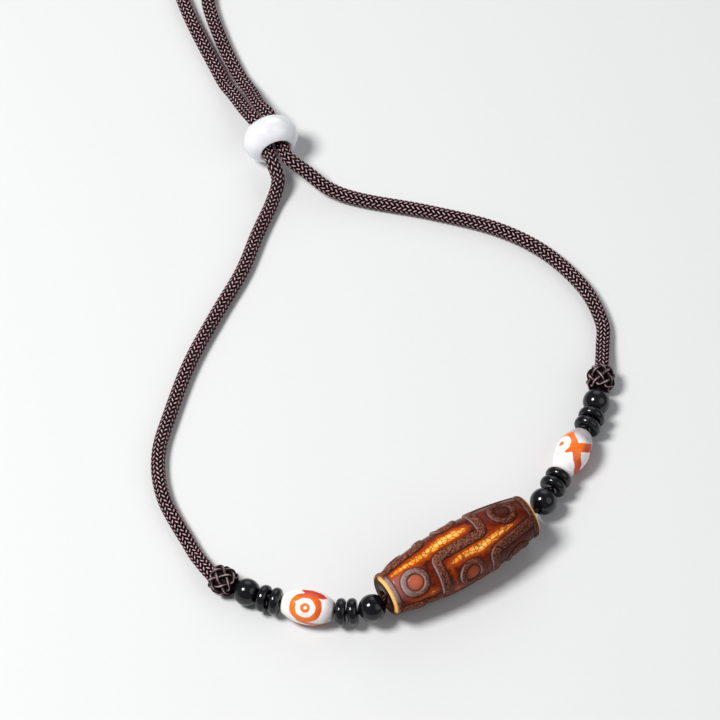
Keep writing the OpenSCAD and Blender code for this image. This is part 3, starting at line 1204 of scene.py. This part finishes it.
@dataclass
class SideBeads:
    """Round, disc and barrel-shaped beads on both sides of the main bead."""

    round_dia: float = 6.0
    disc_dia: float = 6.0
    disc_len: float = 2.2
    disc_edge: float = 1.0
    agate_len: float = 11.4
    agate_dia: float = 7.7
    agate_end_dia: float = 3.8
    agate_edge: float = 0.3
    bore_r: float = 0.9
    lip: float = 0.12
    steps: int = 64
    agate_steps: int = 168
    round_chords: int = 40
    rim_chords: int = 14
    agate_chords: int = 96
    # Each bead's node, kind, heading and tilt
    places: tuple = (
        ("left_inner_round", Kind.ROUND, 200, -24), ("left_disc_1", Kind.DISC, 181, -7),
        ("left_disc_2", Kind.DISC, 177, -3), ("left_agate", Kind.AGATE, 169, 0),
        ("left_disc_3", Kind.DISC, 164, -3), ("left_disc_4", Kind.DISC, 158, -7),
        ("left_outer_round", Kind.ROUND, 153, -5), ("right_inner_round", Kind.ROUND, 62, -8),
        ("right_disc_1", Kind.DISC, 62, -3), ("right_disc_2", Kind.DISC, 62, -1),
        ("right_agate", Kind.AGATE, 63, 0), ("right_disc_3", Kind.DISC, 66, -3),
        ("right_disc_4", Kind.DISC, 71, -7), ("right_outer_round", Kind.ROUND, 76, -5),
    )

    def round_outline(self) -> list[Point2]:
        """Draws the section of a drilled ball, its bore's lips softened.

        Returns:
            Radius and height of each point.
        """
        radius = self.round_dia / 2
        lip_at = math.degrees(math.asin((self.bore_r + self.lip) / radius))
        face = radius * math.cos(math.radians(lip_at))
        outside = arc((0, 0), radius, lip_at - 90, 90 - lip_at, self.round_chords)
        return [(self.bore_r, 0), (self.bore_r, self.lip - face), *outside,
                (self.bore_r, face - self.lip)]

    def disc_outline(self) -> list[Point2]:
        """Draws the section of a drilled disc with a rounded rim.

        Returns:
            Radius and height of each point.
        """
        face, rim = self.disc_len / 2, self.disc_edge
        flat_r = self.disc_dia / 2 - rim
        return [
            (self.bore_r, 0), (self.bore_r, self.lip - face), (self.bore_r + self.lip, -face),
            *arc((flat_r, rim - face), rim, -90, 0, self.rim_chords),
            *arc((flat_r, face - rim), rim, 0, 90, self.rim_chords),
            (self.bore_r + self.lip, face), (self.bore_r, face - self.lip),
        ]

    def agate_outline(self) -> list[Point2]:
        """Draws the section of a drilled barrel with broken edges.

        Returns:
            Radius and height of each point.
        """
        half, rise = self.agate_len / 2, (self.agate_dia - self.agate_end_dia) / 2
        side_r = (half ** 2 + rise ** 2) / (2 * rise)
        reach = math.degrees(math.asin((half - self.agate_edge) / side_r))
        middle_at = (self.agate_dia / 2 - side_r, 0)
        side = arc(middle_at, side_r, -reach, reach, self.agate_chords)
        flat = self.agate_end_dia / 2 - self.agate_edge
        return [(self.bore_r, 0), (self.bore_r, self.lip - half), (self.bore_r + self.lip, -half),
                (flat, -half), *side, (flat, half), (self.bore_r + self.lip, half),
                (self.bore_r, half - self.lip)]

    def length(self, kind: Kind) -> float:
        """Distance that the thread runs inside a bead of a kind."""
        return {Kind.ROUND: 2 * math.sqrt((self.round_dia / 2) ** 2 - self.bore_r ** 2),
                Kind.DISC: self.disc_len, Kind.AGATE: self.agate_len}[kind]

    def build(self) -> None:
        """Turns one bead of each kind, copies it to its places and dresses the copies."""
        outlines = {Kind.ROUND: (self.round_outline(), self.steps),
                    Kind.DISC: (self.disc_outline(), self.steps),
                    Kind.AGATE: (self.agate_outline(), self.agate_steps)}
        patterns = {kind: turned(f"{kind.value}_pattern", outline, steps)
                    for kind, (outline, steps) in outlines.items()}
        black, banded = BlackAgate().material(), BandedAgate().material()
        stains = {"left_agate": LEFT_STAIN, "right_agate": RIGHT_STAIN}
        for node, kind, heading, tilt in self.places:
            place = pointed(middle(node), heading, tilt)
            piece = copied(patterns[kind], f"turned_{node}", place)
            if kind is Kind.AGATE:
                stains[node].mark(piece, place, self.agate_dia / 2)
                dress(piece, banded, (node,))
            else:
                dress(piece, black, (node,))
        for pattern in patterns.values():
            bpy.data.objects.remove(pattern)


@dataclass
class Thread:
    """Waxed thread of three twisted plies, through all the beads from knot to knot."""

    beads: SideBeads = field(default_factory=SideBeads)
    knot_reach: float = 2.55
    # In a gap wider than this the thread runs straight; in a narrower one it bends once, at this
    # share of the way outward
    wide_gap: float = 1.0
    bend_share: float = 0.42
    plies: int = 3
    ply_offset: float = 0.215
    ply_r: float = 0.23
    lay: float = 3.4
    step: float = 0.3
    sides: int = 8
    # Distance from the thread's middle at which the painted highlight on its plies starts
    crest_from: float = 0.3

    def side(self, name: str) -> list[Vector]:
        """Leads the thread from the main bead outward to a knot.

        Args:
            name: left or right.

        Returns:
            A point in each gap between beads, or both ends of a wide gap, and one in the knot.
        """
        out = 1 if name == "right" else -1
        mouth = middle("main_bead") / MM + way(HEADINGS["main_bead"]) * out * MAIN_LEN / 2
        points, before = [], mouth
        for node, kind, heading, tilt in self.beads.places:
            if node.startswith(name):
                half = way(heading, tilt) * self.beads.length(kind) / 2
                at = middle(node) / MM
                points += self.gap(before, at - half)
                before = at + half
        knot_way = way(HEADINGS[f"{name}_knot"])
        inner = middle(f"{name}_knot") / MM - knot_way * KNOT_LEN / 2
        return [*points, *self.gap(before, inner), inner + knot_way * self.knot_reach]

    def gap(self, a: Vector, b: Vector) -> list[Vector]:
        """Points of the thread between two beads' mouths."""
        return [a, b] if (b - a).length > self.wide_gap else [a.lerp(b, self.bend_share)]

    def line(self) -> Line:
        """Runs the thread from the left knot to the right one.

        Returns:
            Its centreline.
        """
        corners = np.array([*self.side("left")[::-1], *self.side("right")])
        lengths = np.linalg.norm(np.diff(corners, axis=0), axis=1)
        distance = np.concatenate([[0.0], np.cumsum(lengths)])
        along = np.linspace(0, distance[-1], int(distance[-1] / self.step))
        return Line(np.stack([np.interp(along, distance, part) for part in corners.T], -1))

    def build(self) -> None:
        """Twists the plies and dresses the thread."""
        line = self.line()
        along = np.linspace(0, line.length, int(line.length / self.step))
        vertices, faces, crests = [], [], []
        for ply in range(self.plies):
            twist = 2 * math.pi * (along / self.lay + ply / self.plies)
            ring = twist[:, None] + 2 * math.pi * np.arange(self.sides)[None, :] / self.sides
            x = self.ply_offset * np.cos(twist)[:, None] + self.ply_r * np.cos(ring)
            y = self.ply_offset * np.sin(twist)[:, None] + self.ply_r * np.sin(ring)
            reach = np.hypot(x, y).ravel()
            vertices.append(line.round_about(np.repeat(along, self.sides),
                                             np.arctan2(y, x).ravel(), reach))
            first = ply * len(along) * self.sides
            faces += [[first + i for i in face] for face in tube_faces(len(along), self.sides)]
            crests.append(smooth_step(reach, self.crest_from, self.ply_offset + self.ply_r))
        piece = meshed("twisted_thread", np.vstack(vertices), faces)
        store(piece, "crest", np.concatenate(crests))
        # The thread has a faint painted highlight on its plies
        finish = Yarn(shade=(0.006, 0.003, 0.003), crest=(0.075, 0.045, 0.042), name="waxed thread")
        dress(piece, finish.material(), ("bead_thread",))


@dataclass
class MainBead:
    """Carved barrel bead: a raised band winds round it between ringed eyes.

    Turns are degrees from the top towards the front, places are millimetres from the left end.
    """

    dia: float = 14.2
    end_dia: float = 9.4
    bore_r: float = 1.3
    lip: float = 0.25
    edge: float = 0.8
    relief: float = 0.35
    groove: float = 0.10
    band_w: float = 2.0
    end_ring_len: float = 1.6
    eye_r: float = 3.1
    eye_cup_r: float = 1.95
    # Distances inside the carving's edge between which its flank rises, and then its crown
    flank: Point2 = (-0.16, 0.22)
    crown: Point2 = (0.10, 0.55)
    crown_share: float = 0.18
    # The foot of the carving: the groove's distance inside the edge, and its half width
    foot: Point2 = (-0.24, 0.14)
    # Height of the dome in an eye's cup as a share of the relief, and the flat round it
    dome_share: float = 0.6
    dome_margin: float = 0.15
    # Width of the dark line round an eye's disc, and how much the disc's glow falls to its edge
    disc_margin: float = 0.12
    ember_fall: float = 0.7
    # Distances from the bore between which an end's smooth face gives way to grain
    bare_face: Point2 = (1.6, 2.2)
    turns: tuple[float, ...] = (0.0, 120.0, 228.0)
    steps: int = 344
    chords: int = 250
    corner: float = 1.6
    # Middle line of the band
    band: tuple = ((0, 95), (11.95, 95), (11.95, 11), (24.5, 11), (24.5, -66), (37.3, -78))
    eyes: tuple = ((5.95, 33), (18.5, 72), (30.7, -12))
    # How brightly each of those eyes glows, and the eyes behind
    embers: tuple = (0.82, 0.50, 0.0, 0.3)
    # Fades along the bead: the painted sheen on the left end, the painted shade on the right end
    sheen_fade: Point2 = (10.5, 3)
    right_end_shade: Point2 = (21, 36)
    # Fades inward from the ends: the rims' painted glow, the end faces' painted shade, and where
    # the flanks' painted highlight starts
    lit_rim: Point2 = (0.60, 0.35)
    shaded_face: Point2 = (0.06, 0.03)
    flank_highlight_from: Point2 = (0.9, 1.5)
    # Fade across an end's edge, outward from the flat face
    rim_fade: float = 0.15
    # How far a flank leans towards the left end before it gets the painted highlight, and when it
    # fully does
    flank_highlight_lean: Point2 = (0.30, 0.75)
    # Turns between which the left end has the painted sheen, and between which the rims have the
    # painted glow
    sheen_turns: tuple[Point2, Point2] = ((-25, -5), (40, 70))
    lit_turns: tuple[Point2, Point2] = ((-50, -25), (92, 112))
    # Golden streaks: place, turn and half width; below zero only their orange halo shows
    streaks: tuple = (
        ((2.5, -11, 0.15), (4, -10.5, 0.45), (7, -10, 0.65), (10, -8.5, 0.75), (13, -11, 0.95),
         (16, -14, 1.1), (19, -12.5, 1.0), (21, -12.5, 0.45), (22.5, -13, -0.6)),
        ((14, 38, -0.1), (15.5, 33, 0.35), (17, 31, 0.6), (19, 31.5, 0.65), (22, 33.5, 0.9),
         (25, 30.5, 0.75), (28, 28, 0.65), (30.5, 26.5, 0.25), (33, 24.5, -0.6)),
        ((14.2, 38, -0.3), (14.3, 62, -0.5), (14.5, 87, -0.7), (14.7, 96, 0.2)),
        ((2.8, 60, -0.6), (4.5, 74, -0.35), (7, 73, -0.1), (8.6, 71, 0.3), (9.3, 70, 0.1)),
        ((25.5, 8, -0.8), (27, 14, -0.8)),
        ((6, 176, 0.4), (19, 181, 0.9), (31, 178, 0.4)),
        ((14, 122, -0.2), (23, 150, 0.5), (32, 146, 0.1)),
        ((13, -130, 0.2), (21, -118, 0.7), (32, -108, 0.2)),
    )

    def outline(self) -> list[Point2]:
        """Draws the section of the drilled barrel, as deep as the groove at the carving's foot.

        Returns:
            Radius and height of each point.
        """
        half, lip = MAIN_LEN / 2, self.lip
        widest = self.dia / 2 - self.relief - self.groove
        rise = (self.dia - self.end_dia) / 2
        side_r = (half ** 2 + rise ** 2) / (2 * rise)
        reach = math.degrees(math.asin((half - self.edge) / side_r))
        side = arc((widest - side_r, 0), side_r, -reach, reach, self.chords)
        fall = side[-1][0] - (self.end_dia / 2 - self.edge)
        steps = [(side[-1][0] - fall * (1 - math.cos(math.radians(a))),
                  half - self.edge + self.edge * math.sin(math.radians(a))) for a in (30, 60, 90)]
        bottom = [(radius, -height) for radius, height in reversed(steps)]
        return [(self.bore_r, 0), (self.bore_r, lip - half), (self.bore_r + lip, -half), *bottom,
                *side, *steps, (self.bore_r + lip, half), (self.bore_r, half - lip)]

    def chart(self, rows: np.ndarray) -> tuple[np.ndarray, np.ndarray, np.ndarray]:
        """Reads vertices as a chart of the bead's surface.

        Args:
            rows: Vertices about the Z axis, in millimetres.

        Returns:
            Distance from the left end, turn in degrees, and radius.
        """
        turn = np.degrees(np.arctan2(rows[:, 1], rows[:, 0])) - 180
        return rows[:, 2] + MAIN_LEN / 2, turn, np.hypot(rows[:, 0], rows[:, 1])

    def band_rows(self) -> list[tuple[float, float]]:
        """Rounds the corners of the band's middle line.

        Returns:
            Place and turn of each point.
        """
        rows = [self.band[0]]
        arc_mm = math.radians(self.dia / 2)
        for before, corner, after in zip(self.band, self.band[1:], self.band[2:]):
            start, end = ([c + (o - c) * self.corner / math.hypot(
                other[0] - corner[0], (other[1] - corner[1]) * arc_mm)
                for c, o in zip(corner, other)] for other in (before, after))
            for t in (0, 0.25, 0.5, 0.75, 1):
                rows.append(tuple((1 - t) ** 2 * a + 2 * t * (1 - t) * c + t * t * b
                                  for a, c, b in zip(start, corner, end)))
        return [*rows, self.band[-1]]

    def band_depth(self, along: np.ndarray, turn: np.ndarray, radius: np.ndarray) -> np.ndarray:
        """Measures how deep each place lies in the band.

        Args:
            along: Distance of each place from the left end.
            turn: Turn of each place.
            radius: Distance of each place from the axis.

        Returns:
            How far inside the band's edge it lies, in millimetres.
        """
        inside = []
        for repeat in self.turns:
            rows = [(place, at + repeat, self.band_w / 2) for place, at in self.band_rows()]
            inside += chart_reach(rows, along, turn, radius)
        return np.max(inside, axis=0)

    def eye_distances(self, along: np.ndarray, turn: np.ndarray,
                      radius: np.ndarray) -> tuple[np.ndarray, np.ndarray]:
        """Finds the eye that each place is nearest to.

        Args:
            along: Distance of each place from the left end.
            turn: Turn of each place.
            radius: Distance of each place from the axis.

        Returns:
            Distance to that eye's middle, and how brightly that eye glows.
        """
        nearest = np.full(len(along), 1e3)
        ember = np.zeros(len(along))
        for repeat in self.turns:
            for (place, at), light in zip(self.eyes, self.embers):
                point = (place, at + repeat, 0)
                away = -chart_reach((point, point), along, turn, radius)[0]
                ember = np.where(away < nearest, self.embers[-1] if repeat else light, ember)
                nearest = np.minimum(nearest, away)
        return nearest, ember

    def build(self) -> None:
        """Turns the bead, carves and stains it, and dresses it."""
        piece = turned("carved_dzi_bead", self.outline(), self.steps)
        along, turn, radius = self.chart(spots(piece))
        from_end = np.minimum(along, MAIN_LEN - along)
        eye, ember = self.eye_distances(along, turn, radius)
        band = self.band_depth(along, turn, radius)
        ring = np.minimum(self.eye_r - eye, eye - self.eye_cup_r)
        depth = np.maximum(np.maximum(band, ring), self.end_ring_len - from_end)
        self.carve(piece, depth, eye, smooth_step(from_end, 0, self.edge))
        skin = smooth_step(radius - self.bore_r, *self.bare_face)
        store(piece, "depth", np.clip(depth, -3, 3))
        store(piece, "raised", smooth_step(depth, self.flank[0], self.crown[0]) * skin)
        store(piece, "disc", np.maximum(self.eye_cup_r - self.disc_margin - eye, -3))
        fall = self.ember_fall * np.clip(eye / self.eye_cup_r, 0, 1) ** 2
        store(piece, "ember", ember * (1 - fall))
        self.mark_light(piece, along, turn, radius)
        self.mark_ends(piece, from_end, turn, radius)
        piece.data.transform(pointed(middle("main_bead"), HEADINGS["main_bead"]))
        dress(piece, CarvedAgate().material(), ("main_bead",))

    def mark_light(self, piece: bpy.types.Object, along: np.ndarray, turn: np.ndarray,
                   radius: np.ndarray) -> None:
        """Keeps where the stone glows, where it has a painted sheen and where it has painted shade.

        Args:
            piece: The bead, about the Z axis.
            along: Distance of each vertex from the left end.
            turn: Turn of each vertex.
            radius: Distance of each vertex from the axis, before the carving.
        """
        streak = np.max([inside for rows in self.streaks
                         for inside in chart_reach(rows, along, turn, radius)], axis=0)
        store(piece, "streak", np.maximum(streak, -4))
        # Painted sheen on the left end, on the turns given for it
        facing = between(signed(turn), *self.sheen_turns)
        store(piece, "painted_sheen", smooth_step(along, *self.sheen_fade) * facing)
        # Painted shade that deepens towards the right end
        store(piece, "right_end_shade", smooth_step(along, *self.right_end_shade))

    def mark_ends(self, piece: bpy.types.Object, from_end: np.ndarray, turn: np.ndarray,
                  radius: np.ndarray) -> None:
        """Keeps where the rims get a painted glow, where the end faces get painted shade and where
        flanks get a painted highlight.

        Args:
            piece: The bead, about the Z axis.
            from_end: Distance of each vertex from the nearer end.
            turn: Turn of each vertex.
            radius: Distance of each vertex from the axis, before the carving.
        """
        rim = self.end_dia / 2 - self.edge
        outer = smooth_step(radius - rim, 0, self.rim_fade)
        # Painted glow on the rims of the ends, on the turns given for it
        facing = between(signed(turn), *self.lit_turns)
        store(piece, "end", facing * outer * smooth_step(from_end, *self.lit_rim))
        # Painted shade on the flat end faces
        store(piece, "cut", smooth_step(from_end, *self.shaded_face))
        # Painted highlight on the flanks that lean towards the left end
        lean = np.array([-vertex.normal.z for vertex in piece.data.vertices])
        flank_highlight = smooth_step(lean, *self.flank_highlight_lean) * smooth_step(from_end, *self.flank_highlight_from)
        store(piece, "flank_highlight", flank_highlight)

    def carve(self, piece: bpy.types.Object, depth: np.ndarray, eye: np.ndarray,
              share: np.ndarray) -> None:
        """Raises the carving and the domed discs, and leaves a groove at the carving's foot.

        Args:
            piece: The turned bead, about the Z axis.
            depth: How far inside the carving's edge each vertex lies.
            eye: Distance to the nearest eye's middle.
            share: How much of the relief each vertex may take.
        """
        raised = smooth_step(depth, *self.flank)
        crown = 1 - self.crown_share * (1 - smooth_step(depth, *self.crown))
        flatness = np.clip(1 - (eye / (self.eye_cup_r - self.dome_margin)) ** 2, 0, 1)
        dome = self.dome_share * flatness ** 0.6
        foot = np.exp(-((depth - self.foot[0]) / self.foot[1]) ** 2)
        height = self.relief * np.maximum(raised * crown, dome) + self.groove * (1 - foot)
        total = self.relief + self.groove
        group = piece.vertex_groups.new(name="carving")
        levels = np.round(np.clip(height * share / total, 0, 1) * 250).astype(int)
        for level in np.unique(levels[levels > 0]):
            group.add(np.nonzero(levels == level)[0].tolist(), level / 250, "REPLACE")
        only(piece)
        carving = piece.modifiers.new("carving", "DISPLACE")
        carving.vertex_group = group.name
        carving.mid_level = 0.0
        carving.strength = total * MM
        bpy.ops.object.modifier_apply(modifier=carving.name)
        piece.vertex_groups.clear()


@dataclass
class Slider:
    """Thick white ring bead that both strands pass through."""

    wall: float = 2.9
    hole_r: float = 3.4
    lip: float = 0.35
    # Points of a lip as shares of it: out from the hole, and in from the face
    lip_points: tuple[Point2, ...] = ((0.0, 0.9), (0.3, 0.35))
    steps: int = 96
    chords: int = 56

    def outline(self) -> list[Point2]:
        """Draws the ring's section: part of a circle, flat along the hole, with soft lips.

        Returns:
            Radius and height of each point.
        """
        radius = SLIDER_LEN / 2
        centre = self.hole_r + self.wall - radius
        reach = math.degrees(math.acos((self.hole_r + self.lip - centre) / radius))
        outside = arc((centre, 0), radius, -reach, reach, self.chords)
        face = radius * math.sin(math.radians(reach))
        lips = [(self.hole_r + out * self.lip, down * self.lip - face)
                for out, down in self.lip_points]
        return [(self.hole_r, 0), *lips, *outside,
                *[(at_r, -height) for at_r, height in reversed(lips)]]

    def build(self) -> None:
        """Turns, places and dresses the slider."""
        piece = turned("turned_slider", self.outline(), self.steps)
        piece.data.transform(pointed(middle("slider"), HEADINGS["slider"]))
        dress(piece, WhiteStone().material(), ("slider",))


@dataclass
class Studio:
    """Camera at the photograph's angle, pale floor and soft light."""

    aim: tuple[float, float, float] = (-11.85, 4.44, 0.0)
    distance: float = 1000.0
    lens: float = 225.0
    sensor: float = 36.0
    clip_end: float = 20.0
    floor_size: float = 6.0
    sky: tuple[float, float, float, float] = (0.9, 0.93, 1.0, 1.0)
    sky_strength: float = 0.25
    # Each light's name, place in metres, width in metres and power in watts
    lights: tuple = (
        ("key", (-0.50, -0.10, 0.85), 0.34, 11.5), ("fill", (0.75, -0.30, 0.70), 0.90, 2.0),
        ("rim", (0.10, 1.10, 0.75), 1.00, 3.0),
    )

    def build(self) -> None:
        """Sets the camera, the floor and the lights."""
        self.camera()
        self.floor()
        for light in self.lights:
            self.light(*light)
        world = bpy.data.worlds.new("studio")
        world.use_nodes = True
        sky = world.node_tree.nodes["Background"].inputs
        sky["Color"].default_value = self.sky
        sky["Strength"].default_value = self.sky_strength
        bpy.context.scene.world = world
        bpy.context.scene.view_settings.view_transform = "Standard"

    def camera(self) -> None:
        """Places the camera and aims it."""
        lift = math.radians(CAMERA_ELEVATION)
        back = Vector((0, -math.cos(lift), math.sin(lift))) * self.distance
        bpy.ops.object.camera_add(location=(Vector(self.aim) + back) * MM,
                                  rotation=(math.pi / 2 - lift, 0, 0))
        camera = bpy.context.object
        camera.data.lens = self.lens
        camera.data.sensor_width = self.sensor
        camera.data.clip_end = self.clip_end
        bpy.context.scene.camera = camera

    def floor(self) -> None:
        """Lays the floor."""
        bpy.ops.mesh.primitive_plane_add(size=self.floor_size, location=(0, 0, 0))
        floor = bpy.context.object
        floor.name = "floor"
        floor.data.materials.append(PaleFloor().material())

    def light(self, name: str, place: tuple[float, float, float], size: float,
              power: float) -> None:
        """Hangs a soft round light that looks at the necklace.

        Args:
            name: Its name.
            place: Where it hangs, in metres.
            size: Its width.
            power: Its power in watts.
        """
        at = Vector(place)
        bpy.ops.object.light_add(type="AREA", location=at)
        light = bpy.context.object
        light.name = name
        light.data.shape = "DISK"
        light.data.size = size
        light.data.energy = power
        light.rotation_euler = (Vector(self.aim) * MM - at).to_track_quat("-Z", "Y").to_euler()


def main() -> None:
    """Builds the necklace and its studio."""
    logging.basicConfig(level=logging.INFO, format="%(name)s: %(message)s")
    parts = (Studio(), Cord(), Knot("left_knot"), Knot("right_knot"), MainBead(), SideBeads(),
             Thread(), Slider())
    for part in parts:
        part.build()


if __name__ == "__main__":
    main()
